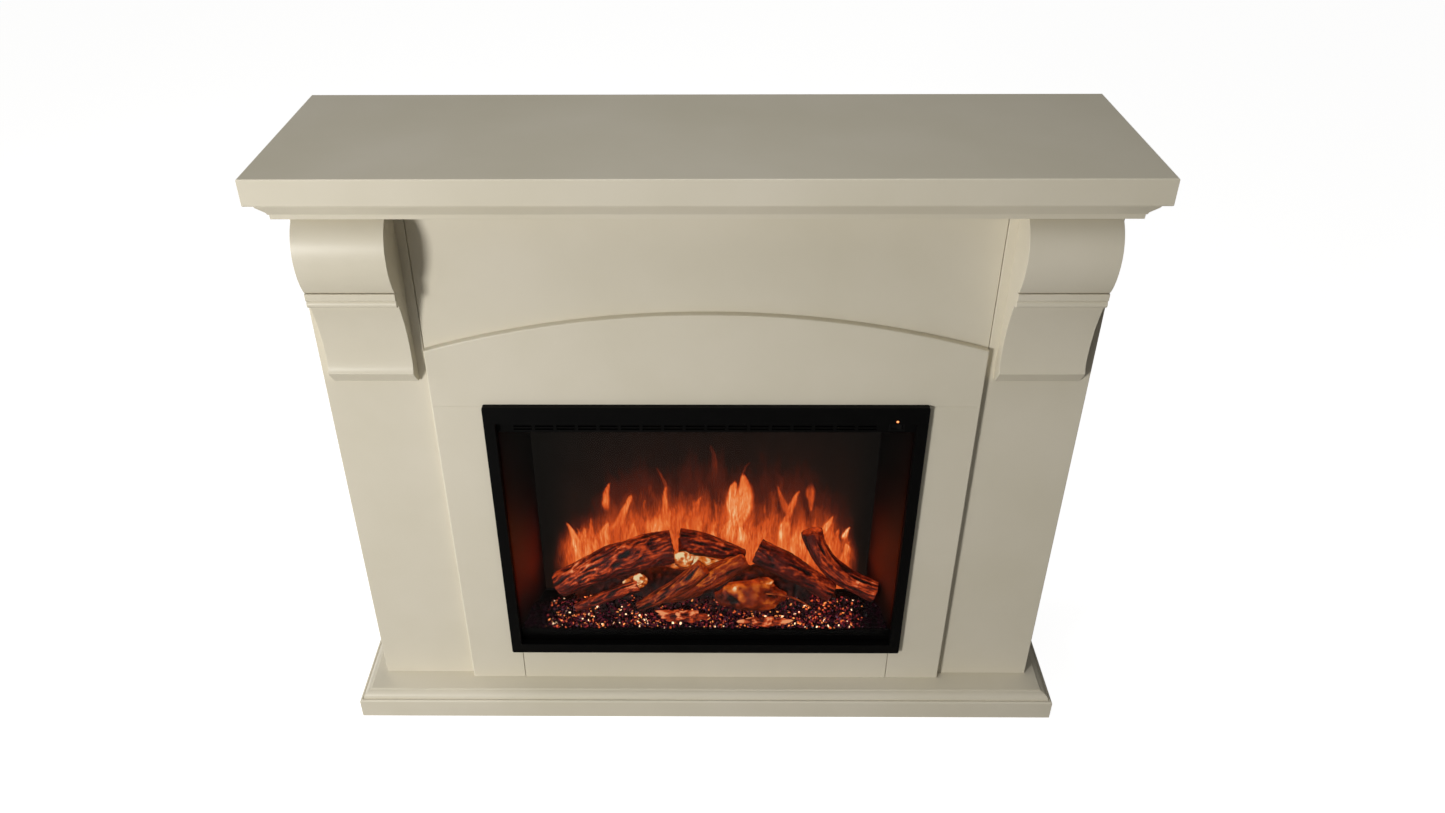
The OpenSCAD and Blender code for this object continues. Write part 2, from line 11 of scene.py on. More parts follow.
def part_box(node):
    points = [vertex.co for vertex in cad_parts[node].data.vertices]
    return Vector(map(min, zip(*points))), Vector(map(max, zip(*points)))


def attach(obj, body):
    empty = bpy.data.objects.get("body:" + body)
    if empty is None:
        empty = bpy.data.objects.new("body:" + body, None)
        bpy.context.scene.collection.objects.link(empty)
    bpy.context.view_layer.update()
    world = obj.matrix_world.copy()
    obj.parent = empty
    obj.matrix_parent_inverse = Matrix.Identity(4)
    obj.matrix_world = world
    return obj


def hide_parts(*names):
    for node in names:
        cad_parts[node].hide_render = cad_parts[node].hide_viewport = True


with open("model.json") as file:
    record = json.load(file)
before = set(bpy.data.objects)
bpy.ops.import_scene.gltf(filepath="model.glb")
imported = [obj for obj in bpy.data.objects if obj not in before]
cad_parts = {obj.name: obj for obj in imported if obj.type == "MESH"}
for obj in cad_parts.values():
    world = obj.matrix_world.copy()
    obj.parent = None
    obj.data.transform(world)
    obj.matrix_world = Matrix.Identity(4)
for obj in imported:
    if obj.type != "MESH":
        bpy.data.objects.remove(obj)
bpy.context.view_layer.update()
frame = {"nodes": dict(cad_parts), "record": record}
MM = 0.001


# ---- Helpers for materials ----

def colour(hex_code):
    """An sRGB hex colour as the linear RGBA that shaders take."""
    parts = [int(hex_code[i:i + 2], 16) / 255 for i in (1, 3, 5)]
    return [c / 12.92 if c <= 0.04045 else ((c + 0.055) / 1.055) ** 2.4 for c in parts] + [1.0]


def add(tree, kind, values=None, links=None, stops=None, **settings):
    """Adds a shader node: its own settings, its sockets' values, its links and a ramp's stops."""
    made = tree.nodes.new("ShaderNode" + kind)
    for name, value in settings.items():
        setattr(made, name, value)
    for key, value in (values or {}).items():
        made.inputs[key].default_value = value
    for key, source in (links or {}).items():
        tree.links.new(source, made.inputs[key])
    for i, (place, code) in enumerate(stops or []):
        ramp = made.color_ramp.elements
        stop = ramp[i] if i < len(ramp) else ramp.new(place)
        stop.position = place
        stop.color = colour(code)
    return made


def new_material(name, **values):
    """A material with one Principled shader. Values are its sockets', with _ for a space."""
    made = bpy.data.materials.new(name)
    made.use_nodes = True
    shader = made.node_tree.nodes["Principled BSDF"]
    for key, value in values.items():
        shader.inputs[key.replace("_", " ")].default_value = value
    return made, made.node_tree, shader


def per_metre(mm):
    """Scale of a pattern whose cells are mm wide, on coordinates in metres."""
    return 1000 / mm


def grained(tree, shader, cell, depth, rough, stretch=(1, 1, 1)):
    """Bump and roughness from one fine noise: cell and depth in mm, rough as (least, most)."""
    place = add(tree, "TexCoord").outputs["Object"]
    turned = add(tree, "Mapping", {"Scale": stretch}, {"Vector": place}).outputs[0]
    grain = add(tree, "TexNoise", {"Scale": per_metre(cell), "Detail": 3.0, "Roughness": 0.6},
                {"Vector": turned}).outputs["Fac"]
    bump = add(tree, "Bump", {"Strength": 1.0, "Distance": depth * MM}, {"Height": grain})
    tree.links.new(bump.outputs[0], shader.inputs["Normal"])
    spread = add(tree, "MapRange", {"To Min": rough[0], "To Max": rough[1]}, {"Value": grain})
    tree.links.new(spread.outputs[0], shader.inputs["Roughness"])
    return turned, grain


def mottled(tree, shader, vector, cell, pale, dark, socket="Base Color"):
    """Colour that drifts between two shades over cells of that many mm."""
    drift = add(tree, "TexNoise", {"Scale": per_metre(cell), "Detail": 4.0}, {"Vector": vector})
    shades = add(tree, "ValToRGB", links={0: drift.outputs["Fac"]},
                 stops=[(0.32, dark), (0.68, pale)])
    tree.links.new(shades.outputs[0], shader.inputs[socket])
    return shades


# ---- Materials ----

def satin_paint():
    """Sprayed satin paint on board: a soft sheen, a very fine orange peel of 2.5 mm cells,
    drawn a little coarser than it is, and a hardly seen drift of tone."""
    made, tree, shader = new_material("satin_paint_on_board", IOR=1.48)
    place, _ = grained(tree, shader, 3.5, 0.05, (0.34, 0.46))
    mottled(tree, shader, place, 260, "#dcd5c3", "#d6cfbb")
    return made


def sawn_softwood():
    """Sawn softwood bearers: straight growth lines 6 mm apart and fuzzy saw marks."""
    made, tree, shader = new_material("sawn_softwood")
    place, _ = grained(tree, shader, 1.2, 0.15, (0.65, 0.85), (1, 0.08, 1))
    rings = add(tree, "TexWave", {"Scale": per_metre(6) / 6.28, "Distortion": 3.0,
                                  "Detail": 3.0, "Detail Scale": 0.6}, {"Vector": place},
                wave_type="BANDS", bands_direction="X")
    tone = add(tree, "ValToRGB", links={0: rings.outputs["Fac"]},
               stops=[(0.2, "#c9a877"), (0.9, "#a57f4d")])
    tree.links.new(tone.outputs[0], shader.inputs["Base Color"])
    return made


def zinc_plate():
    """Bright zinc on pressed steel: spangle in 5 mm flakes that catch light one by one."""
    made, tree, shader = new_material("zinc_plated_steel", Metallic=1.0)
    place, _ = grained(tree, shader, 0.8, 0.01, (0.28, 0.5))
    flakes = add(tree, "TexVoronoi", {"Scale": per_metre(5)}, {"Vector": place})
    tone = add(tree, "ValToRGB", links={0: flakes.outputs["Color"]},
               stops=[(0.0, "#8f9398"), (1.0, "#c3c6ca")])
    tree.links.new(tone.outputs[0], shader.inputs["Base Color"])
    return made


def powder_coat(name, pale, dark, rough=(0.38, 0.52)):
    """Powder coat on pressed steel: a fine even texture of 0.8 mm grit, drawn at 1.4 mm."""
    made, tree, shader = new_material(name, IOR=1.5, Specular_IOR_Level=0.08)
    place, _ = grained(tree, shader, 1.4, 0.06, rough)
    mottled(tree, shader, place, 45, pale, dark)
    return made


def tempered_glass():
    """Clear tempered pane, lightly smoked: nearly all of the fire shows through it, with a
    thin sheen and the faint haze that wiping leaves."""
    made, tree, shader = new_material("tempered_glass", Alpha=0.2, IOR=1.45,
                                      Specular_IOR_Level=0.35)
    place = add(tree, "TexCoord").outputs["Object"]
    haze = add(tree, "TexNoise", {"Scale": per_metre(60), "Detail": 5.0}, {"Vector": place})
    spread = add(tree, "MapRange", {"To Min": 0.02, "To Max": 0.09},
                 {"Value": haze.outputs["Fac"]})
    tree.links.new(spread.outputs[0], shader.inputs["Roughness"])
    mottled(tree, shader, place, 90, "#060505", "#020202")
    return made


def moulded(name, pale, dark, rough=(0.42, 0.6), cell=1.0, shine=0.5):
    """Moulded plastic or rubber: spark texture of fine pits and a slight drift of tone."""
    made, tree, shader = new_material(name, IOR=1.46, Specular_IOR_Level=shine)
    place, _ = grained(tree, shader, cell, 0.03, rough)
    mottled(tree, shader, place, 30, pale, dark)
    return made


def brushed(name, pale, dark, line=0.6, rough=(0.25, 0.42)):
    """Rolled metal: lines along X, each drawn about 0.6 mm wide, and cloudy tone."""
    made, tree, shader = new_material(name, Metallic=1.0)
    place, _ = grained(tree, shader, line, 0.01, rough, (0.03, 1, 1))
    mottled(tree, shader, place, 25, pale, dark)
    return made


def polished_sheet():
    """Polished aluminium reflector: mirror bright with a trace of rolling waviness."""
    made, tree, shader = new_material("polished_aluminium", Metallic=1.0)
    place, _ = grained(tree, shader, 30, 0.02, (0.05, 0.12), (1, 1, 0.2))
    mottled(tree, shader, place, 120, "#e4e6e8", "#d3d6d9")
    return made


def liner_enamel():
    """Side walls of the fire chamber: dark satin enamel, its colour painted with the red-brown
    glow of the flames beside it, brightest at their height, with painted shade towards its top and
    its foot."""
    made, tree, shader = new_material("liner_enamel", IOR=1.5, Specular_IOR_Level=0.2)
    place, _ = grained(tree, shader, 2.0, 0.03, (0.4, 0.55))
    shades = mottled(tree, shader, place, 80, "#5c2410", "#451808")
    height = add(tree, "SeparateXYZ", links={0: place}).outputs["Z"]
    # Painted glow and painted shade by height: brightest where the flames stand, darker towards
    # the top and the foot of the walls
    painted_glow_band = add(tree, "ValToRGB", links={0: height},
               stops=[(0.19, "#0c0402"), (0.25, "#a8a8a8"), (0.32, "#ffffff"),
                      (0.40, "#c4c4c4"), (0.48, "#6a6a6a"), (0.58, "#0e0503")])
    painted_glow_colour = add(tree, "Mix", {0: 1.0}, {6: shades.outputs[0], 7: painted_glow_band.outputs[0]},
               data_type="RGBA", blend_type="MULTIPLY")
    tree.links.new(painted_glow_colour.outputs[2], shader.inputs["Base Color"])
    return made


def lit_screen():
    """Smoked acrylic flame screen, lit from behind. The attribute fire says how hot each
    place is, and fine upright wisps break it up."""
    made, tree, shader = new_material("smoked_acrylic_lit", IOR=1.49, Emission_Strength=1.45,
                                      Specular_IOR_Level=0.1)
    place, _ = grained(tree, shader, 4, 0.01, (0.3, 0.4))
    mottled(tree, shader, place, 70, "#0b0807", "#070505")
    wisps = add(tree, "Mapping", {"Scale": (1, 1, 0.16)}, {"Vector": place}).outputs[0]
    streak = add(tree, "TexNoise", {"Scale": per_metre(6), "Detail": 5.0, "Distortion": 1.2},
                 {"Vector": wisps}).outputs["Fac"]
    heat = add(tree, "Attribute", attribute_name="fire").outputs["Fac"]
    gain = add(tree, "MapRange", {"From Min": 0.3, "From Max": 0.7, "To Min": 0.80,
                                  "To Max": 1.16}, {"Value": streak})
    hot = add(tree, "Math", links={0: heat, 1: gain.outputs[0]}, operation="MULTIPLY")
    glow = add(tree, "ValToRGB", links={0: hot.outputs[0]},
               stops=[(0.0, "#0c0a08"), (0.12, "#1e110c"), (0.26, "#4f1c10"), (0.42, "#963616"),
                      (0.58, "#d5531f"), (0.74, "#ec7a39"), (0.88, "#f2a066"), (1.0, "#f9cb95")])
    tree.links.new(glow.outputs[0], shader.inputs["Emission Color"])
    return made


def painted_resin(name, ridge, mid, groove, ember, strength, cell=9):
    """Cast resin painted by hand and lit from inside: the attribute bark, 0 on a ridge and
    1 in a groove, picks the paint, and the attribute glow lets the light through."""
    made, tree, shader = new_material(name, IOR=1.5, Emission_Strength=strength)
    place, _ = grained(tree, shader, 2.5, 0.5, (0.5, 0.8))
    bark = add(tree, "Attribute", attribute_name="bark").outputs["Fac"]
    drift = add(tree, "TexNoise", {"Scale": per_metre(cell), "Detail": 5.0, "Roughness": 0.65},
                {"Vector": place}).outputs["Fac"]
    ruts = add(tree, "Math", {1: 0.62}, {0: bark}, operation="MULTIPLY")
    tone = add(tree, "Math", {1: 0.62}, {0: drift, 2: ruts.outputs[0]}, operation="MULTIPLY_ADD")
    paint = add(tree, "ValToRGB", links={0: tone.outputs[0]},
                stops=[(0.36, ridge), (0.6, mid), (0.88, groove)])
    tree.links.new(paint.outputs[0], shader.inputs["Base Color"])
    share = add(tree, "MapRange", {"From Min": 0.3, "From Max": 0.84, "To Min": 1.35,
                                   "To Max": 0.0}, {"Value": tone.outputs[0]})
    glow = add(tree, "Attribute", attribute_name="glow").outputs["Fac"]
    lit = add(tree, "Math", links={0: share.outputs[0], 1: glow}, operation="MULTIPLY")
    light = add(tree, "ValToRGB", links={0: lit.outputs[0]},
                stops=[(0.0, "#030100"), (0.34, ember[0]), (0.74, ember[1]), (1.0, ember[2])])
    tree.links.new(light.outputs[0], shader.inputs["Emission Color"])
    return made


def ember_glass():
    """Crushed glass and resin embers: glossy chips, each in its own tint, and some of them
    bright where a lamp stands under them."""
    made, tree, shader = new_material("crushed_glass_embers", IOR=1.5, Emission_Strength=1.5,
                                      Specular_IOR_Level=0.25)
    grained(tree, shader, 1.5, 0.1, (0.12, 0.3))
    tint = add(tree, "Attribute", attribute_name="tint").outputs["Color"]
    heat = add(tree, "Attribute", attribute_name="lamp_light").outputs["Fac"]
    tree.links.new(tint, shader.inputs["Base Color"])
    light = add(tree, "VectorMath", links={0: tint}, operation="SCALE")
    tree.links.new(heat, light.inputs["Scale"])
    tree.links.new(light.outputs[0], shader.inputs["Emission Color"])
    return made


def lit_lens():
    """Orange indicator lens, lit: bright in the middle of its dome, deeper at its rim."""
    made, tree, shader = new_material("lit_lens", Roughness=0.2, Emission_Strength=1.6)
    edge = add(tree, "LayerWeight", {"Blend": 0.4}).outputs["Facing"]
    tone = add(tree, "ValToRGB", links={0: edge}, stops=[(0.0, "#ff9c5c"), (1.0, "#e0581c")])
    tree.links.new(tone.outputs[0], shader.inputs["Emission Color"])
    tree.links.new(tone.outputs[0], shader.inputs["Base Color"])
    return made


FINISHES = {
    "painted_board": satin_paint(),
    "raw_wood": sawn_softwood(),
    "zinc_steel": zinc_plate(),
    "black_trim": powder_coat("black_powder_coat", "#050505", "#030303", (0.5, 0.62)),
    "tinted_glass": tempered_glass(),
    "seal_rubber": moulded("seal_rubber", "#0a0a0a", "#060606", (0.7, 0.85), shine=0.1),
    "casing_steel": powder_coat("casing_powder_coat", "#3a3b3d", "#303133"),
    "black_plastic": moulded("black_abs", "#0a0a0a", "#060606", shine=0.12),
    "chamber_liner": liner_enamel(),
    "flame_screen": lit_screen(),
    "ember_resin": ember_glass(),
    "ash_resin": painted_resin("ash_resin", "#5a2a1c", "#2a120c", "#0b0504",
                               ("#3a0c08", "#8c3020", "#e08a5c"), 0.8),
    "log_resin": painted_resin("bark_resin", "#6a2410", "#340e05", "#0a0302",
                               ("#581004", "#d24c1a", "#f6a06a"), 1.2, 16),
    "log_glow": painted_resin("heart_resin", "#8a4a1c", "#54220a", "#1a0803",
                              ("#862404", "#e2701e", "#f8e0ac"), 1.15, 20),
    "circuit": moulded("white_circuit_strip", "#dcd8cc", "#cfcabc", (0.35, 0.5)),
    "circuit_green": moulded("solder_mask", "#1f5a38", "#174a2d", (0.25, 0.4)),
    "mirror_sheet": polished_sheet(),
    "motor_steel": brushed("plated_motor_can", "#a9adb2", "#8b8f95"),
    "nylon": moulded("natural_nylon", "#dcd6c4", "#d0c9b4", (0.35, 0.5)),
    "fan_aluminium": brushed("rolled_aluminium", "#c9ccd0", "#b1b5ba"),
    "heater_brass": brushed("dull_brass", "#b99a5e", "#94763f", 0.8, (0.35, 0.55)),
    "indicator": lit_lens(),
}
SLOT_OF = {part["node"]: part["material_slot"] for part in frame["record"]["subparts"]}


# ---- Helpers for shapes ----

def cad_copy(node_name):
    """A CAD node as a bmesh, its triangles merged and its flat faces made whole."""
    bm = bmesh.new()
    bm.from_mesh(frame["nodes"][node_name].data)
    bmesh.ops.remove_doubles(bm, verts=bm.verts, dist=0.01 * MM)
    bmesh.ops.dissolve_limit(bm, angle_limit=math.radians(0.5), verts=bm.verts, edges=bm.edges)
    return bm


def sharp_edges(bm, angle=30):
    """Edges where two faces meet at more than that many degrees."""
    return [e for e in bm.edges if e.is_manifold and e.calc_face_angle(0) > math.radians(angle)]


def ease(bm, edges, width, steps=3):
    """Rounds edges over to that many mm."""
    if edges:
        bmesh.ops.bevel(bm, geom=edges, offset=width * MM, offset_type="OFFSET",
                        segments=steps, profile=0.5, affect="EDGES", clamp_overlap=True,
                        material=-1)


def piece(name, bm, slot, body="mantel", stands_for=(), sharp=35):
    """A finished piece from a bmesh, in the finish of a slot, riding on a body."""
    mesh = bpy.data.meshes.new(name)
    bm.normal_update()
    bm.to_mesh(mesh)
    bm.free()
    mesh.shade_smooth()
    mesh.set_sharp_from_angle(angle=math.radians(sharp))
    mesh.materials.append(FINISHES[slot])
    obj = bpy.data.objects.new(name, mesh)
    bpy.context.scene.collection.objects.link(obj)
    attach(obj, body)
    if stands_for:
        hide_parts(*stands_for)
    return obj


def settle_normals(obj):
    """Lets the large flat faces keep their own normals, so that rounded edges shade softly."""
    flat = obj.modifiers.new("flat_faces", "WEIGHTED_NORMAL")
    flat.weight = 80
    flat.keep_sharp = True


def at(node_name, u, v, w):
    """A point in a CAD node's box, by its shares of the box from the lowest corner."""
    low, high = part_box(node_name)
    return Vector(a + (b - a) * s for a, b, s in zip(low, high, (u, v, w)))


# ---- Painted mantel ----

# Rounding of the edges in mm: round the arched panel, at the corners of the legs, beside
# an open joint, and on every other edge
FRONT_EDGE = 3.0
CORNER_EDGE = 1.6
GROOVE_EDGE = 1.6
SEAM_EDGE = 0.7
# Open joint at each end of a butted board, in mm
JOINT_GAP = 1.0


def on_front(edge, y):
    """Whether an edge lies in the plane at that y."""
    return all(abs(v.co.y - y) < 0.2 * MM for v in edge.verts)


def eased_board(node_name, wide=lambda edge: False, wide_mm=CORNER_EDGE, gap=0.0):
    """A painted board with its chosen edges rounded wide and all its others only eased. A
    gap, in mm, cuts both ends short and leaves the open joint of a butted board."""
    bm = cad_copy(node_name)
    low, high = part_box(node_name)
    for v in bm.verts:
        if min(v.co.x - low.x, high.x - v.co.x) < MM:
            v.co.x -= math.copysign(gap * MM, v.co.x)
    ease(bm, [e for e in sharp_edges(bm) if wide(e)], wide_mm, 4)
    ease(bm, sharp_edges(bm, 40), SEAM_EDGE, 2)
    settle_normals(piece(node_name + "_board", bm, "painted_board", stands_for=[node_name]))


def arch_edge(edge):
    """Edges of the arched panel that show: its top and its outer sides, on its front."""
    low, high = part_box("arch_rail")
    middle = (edge.verts[0].co + edge.verts[1].co) / 2
    outer = abs(abs(middle.x) - high.x) < MM
    top = middle.z > low.z + 10 * MM
    return on_front(edge, low.y) and (outer or top)


def upright_on(node_name):
    """A test for the upright edges on the front of a board."""
    low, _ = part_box(node_name)

    def picked(edge):
        a, b = (v.co for v in edge.verts)
        return on_front(edge, low.y) and abs(a.x - b.x) < MM and abs(a.z - b.z) > 20 * MM

    return picked


for board in ("arch_rail", "stile_left", "stile_right"):
    eased_board(board, arch_edge, FRONT_EDGE)
for board in ("leg_face_left", "leg_face_right"):
    eased_board(board, upright_on(board))
for board in ("header_panel", "bottom_rail"):
    eased_board(board, upright_on(board), GROOVE_EDGE, JOINT_GAP)
for board in ("shelf_slab", "sub_top", "opening_jambs", "leg_returns", "side_panel_left",
              "side_panel_right", "plinth_board", "insert_shelf", "back_rails",
              "crown_front", "crown_returns", "plinth_mould_front", "plinth_mould_returns",
              "corbel_left", "corbel_right", "corbel_beads"):
    eased_board(board)


def sawn_bearers():
    """Bearers under the plinth, their arrises knocked off."""
    bm = cad_copy("plinth_blocks")
    ease(bm, sharp_edges(bm), 1.0, 1)
    piece("sawn_bearers", bm, "raw_wood", stands_for=["plinth_blocks"])


sawn_bearers()


# ---- Front of the insert ----

def pressed_frame():
    """The front frame, with the soft folded edge of pressed sheet."""
    bm = cad_copy("trim_frame")
    ease(bm, sharp_edges(bm), 1.4, 3)
    settle_normals(piece("pressed_frame", bm, "black_trim", stands_for=["trim_frame"]))


def ground_pane():
    """The pane, its edges ground."""
    bm = cad_copy("front_glass")
    ease(bm, sharp_edges(bm), 0.8, 2)
    settle_normals(piece("ground_pane", bm, "tinted_glass", stands_for=["front_glass"]))


def domed_lens():
    """The indicator: a small dome with a short stem in the frame."""
    low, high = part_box("indicator_lens")
    middle, r = (low + high) / 2, (high.x - low.x) / 2
    bm = bmesh.new()
    bmesh.ops.create_uvsphere(bm, u_segments=24, v_segments=12, radius=r)
    back = [v for v in bm.verts if v.co.z < -0.01 * r]
    bmesh.ops.translate(bm, verts=back, vec=(0, 0, -(high.y - low.y - 2 * r * 0.6)))
    turn = Matrix.Rotation(math.radians(90), 4, "X")
    for v in bm.verts:
        v.co.z *= 0.55 if v.co.z > 0 else 1
    bmesh.ops.transform(bm, matrix=Matrix.Translation((middle.x, 0, middle.z)) @ turn,
                        verts=bm.verts)
    front = min(v.co.y for v in bm.verts)
    bmesh.ops.translate(bm, verts=bm.verts, vec=(0, low.y - front, 0))
    piece("domed_lens", bm, "indicator", stands_for=["indicator_lens"])


pressed_frame()
ground_pane()
domed_lens()


# ---- Flames on the screen ----

class Drift:
    """Smooth random values over a plane, the same on each run."""

    CELLS = 64

    def __init__(self, seed):
        self.table = np.random.default_rng(seed).random((self.CELLS, self.CELLS))

    def at(self, u, v):
        """The value at a place, blended between the four cells round it."""
        i, j = np.floor(u).astype(int), np.floor(v).astype(int)
        a, b = u - i, v - j
        a, b = a * a * (3 - 2 * a), b * b * (3 - 2 * b)
        t, n = self.table, self.CELLS
        near = t[i % n, j % n] * (1 - a) + t[(i + 1) % n, j % n] * a
        far = t[i % n, (j + 1) % n] * (1 - a) + t[(i + 1) % n, (j + 1) % n] * a
        return near * (1 - b) + far * b

    def layers(self, u, v, count=4):
        """Drift over drift, each half as wide and half as strong as the one before."""
        total = sum(self.at(u * 2 ** k + 7.3 * k, v * 2 ** k + 3.1 * k) / 2 ** k
                    for k in range(count))
        return total / (2 - 2 ** (1 - count))


# Each tongue of flame in mm: x and z of its foot, x of its middle, x and z of its tip,
# half of its width, and its brightness.
TONGUES = [(-292, 290, -294, -312, 398, 13, 0.84), (-318, 262, -314, -322, 326, 9, 0.68),
           (-276, 300, -278, -266, 380, 8, 0.6),
           (-216, 424, -219, -205, 508, 10, 0.7), (-222, 330, -230, -212, 396, 13, 0.72),
           (-206, 345, -188, -160, 478, 13, 0.74), (-172, 312, -164, -164, 396, 16, 0.8),
           (-134, 426, -136, -130, 462, 3, 0.6), (-88, 405, -90, -86, 500, 7, 0.64),
           (-84, 478, -90, -106, 550, 4.5, 0.4), (-52, 440, -54, -50, 490, 4, 0.34),
           (-26, 380, -24, -8, 472, 9, 0.56), (-20, 430, -24, -22, 462, 5, 0.5),
           (16, 500, 19, 10, 612, 7, 0.27), (20, 380, 22, 20, 464, 2.8, 0.56),
           (12, 330, 18, 20, 392, 9, 0.7), (68, 392, 61, 65, 516, 15, 0.78),
           (70, 384, 86, 82, 536, 31, 0.76), (44, 340, 52, 98, 432, 12, 0.7),
           (82, 520, 86, 98, 562, 2.5, 0.4), (78, 330, 82, 80, 386, 13, 0.82),
           (132, 380, 134, 132, 448, 3, 0.56), (188, 404, 172, 156, 500, 9, 0.58),
           (186, 396, 190, 206, 488, 9, 0.68), (180, 330, 176, 186, 424, 17, 0.82),
           (158, 360, 156, 160, 424, 6, 0.6), (229, 508, 230, 231, 424, 13, 0.56),
           (254, 350, 270, 281, 416, 11, 0.78), (226, 352, 246, 268, 388, 9, 0.62),
           (300, 305, 298, 298, 380, 7, 0.62), (312, 344, 315, 325, 384, 8, 0.88),
           (308, 262, 320, 318, 338, 15, 0.8)]


def step(low, high, value):
    """A smooth rise from 0 to 1 between two values."""
    share = np.clip((value - low) / (high - low), 0, 1)
    return share * share * (3 - 2 * share)


# How many small tongues stand in the body of fire
SMALL_TONGUES = 44
# The body of fire in mm: the foot of its crest, how far it rises, and half of its width
CREST_FOOT, CREST_RISE, CREST_HALF = 296, 110, 350
# Cuts across the front of the screen each way
SCREEN_CUTS = 279


def flame_heat(x, z):
    """How hot the screen looks at each place in mm: a body of fire that is highest in the
    middle, a haze over it, and the tongues that stand out of it."""
    broad, fine = Drift(3), Drift(11)
    draw = random.Random(8)
    sway = (broad.layers(x / 55, z / 45) - 0.5) * 26
    wisp = step(0.28, 0.72, fine.layers((x + sway) / 16, z / 90))
    thread = 1 - np.abs(2 * fine.layers((x + sway) / 12 + 30, z / 130 + 5, 2) - 1)
    thread = np.clip(thread, 0, 1) ** 4
    patch = step(0.35, 0.75, broad.layers(x / 62 + 20, z / 80, 2))
    curl = (fine.layers(x / 24 + 3, z / 34 + 11, 3) - 0.5) * 13

    def crest(place):
        return CREST_FOOT + CREST_RISE * np.sqrt(np.clip(1 - (place / CREST_HALF) ** 2, 0, 1))

    edge = crest(x) + (broad.layers(x / 34 + 9, z / 150) - 0.5) * 74
    body = 1 / (1 + np.exp(np.clip((z - edge) / 19, -30, 30)))
    glow = np.exp(-(np.clip(z - 330, 0, 900) / 195) ** 1.7) * np.exp(-((x - 20) / 290) ** 4)
    haze = glow * (0.42 + 0.16 * wisp + 0.1 * patch)
    heat = haze + body * np.maximum(0.45 + 0.2 * wisp + 0.12 * thread + 0.14 * patch - haze, 0)
    small = [(a, crest(a) - 75, a + draw.uniform(-9, 9), a + draw.uniform(-12, 12),
              crest(a) + draw.uniform(-20, 44), draw.uniform(3, 9), draw.uniform(0.44, 0.64))
             for a in (draw.uniform(-325, 325) for _ in range(SMALL_TONGUES))]
    for foot_x, foot, bow, tip_x, tip, half, bright in small + TONGUES:
        t = (z - foot) / (tip - foot)
        along = np.clip(t, 0, 1)
        centre = (foot_x * (1 - along) ** 2 + (2 * bow - (foot_x + tip_x) / 2) * 2 * along
                  * (1 - along) + tip_x * along ** 2) + sway * 0.2
        width = half * 1.9 * along ** 0.5 * (1 - along) ** 0.95 + 0.5
        off = np.abs(x - centre + curl * (0.3 + 0.7 * along)) / width
        shape = 1 / (1 + np.exp(np.clip((off - 0.9) * 7, -30, 30)))
        shape = shape * step(-0.06, 0.34, t) * (1 - step(0.9, 1.0, t))
        inner = bright * (0.88 + 0.16 * np.exp(-((off - 0.75) / 0.3) ** 2)
                          + 0.3 * (wisp - 0.5) + 0.1 * thread)
        heat = heat + shape * np.maximum(inner - heat, -0.03)
    sides = step(-366, -300, x) * (1 - step(318, 364, x))
    return np.clip(heat * (0.1 + 0.9 * sides), 0, 1.0)


def flame_screen():
    """The acrylic sheet, its front divided finely enough to hold the flames."""
    low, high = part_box("flame_screen")
    bm = bmesh.new()
    bmesh.ops.create_cube(bm, size=1)
    for v in bm.verts:
        v.co = Vector(a + (b - a) * (s + 0.5) for a, b, s in zip(low, high, v.co))
    front = [f for f in bm.faces if f.calc_center_median().y < low.y + 0.1 * MM]
    bmesh.ops.subdivide_edges(bm, edges=front[0].edges[:], cuts=SCREEN_CUTS,
                              use_grid_fill=True)
    obj = piece("lit_flame_screen", bm, "flame_screen", stands_for=["flame_screen"])
    count = len(obj.data.vertices)
    co = np.zeros(count * 3)
    obj.data.vertices.foreach_get("co", co)
    co = co.reshape(-1, 3) / MM
    heat = flame_heat(co[:, 0], co[:, 2]) * (co[:, 1] < low.y / MM + 0.1)
    layer = obj.data.attributes.new("fire", "FLOAT", "POINT")
    layer.data.foreach_set("value", heat.astype(np.float32))
    obj.active_material.cycles.emission_sampling = "NONE"


flame_screen()


# ---- Logs ----

def bend(path):
    """Place and direction along a smooth line through three points."""
    first, middle, last = path
    pull = middle * 2 - (first + last) / 2

    def place(t):
        return first * (1 - t) ** 2 + pull * 2 * t * (1 - t) + last * t * t

    def direction(t):
        return ((pull - first) * (1 - t) + (last - pull) * t).normalized()

    return place, direction


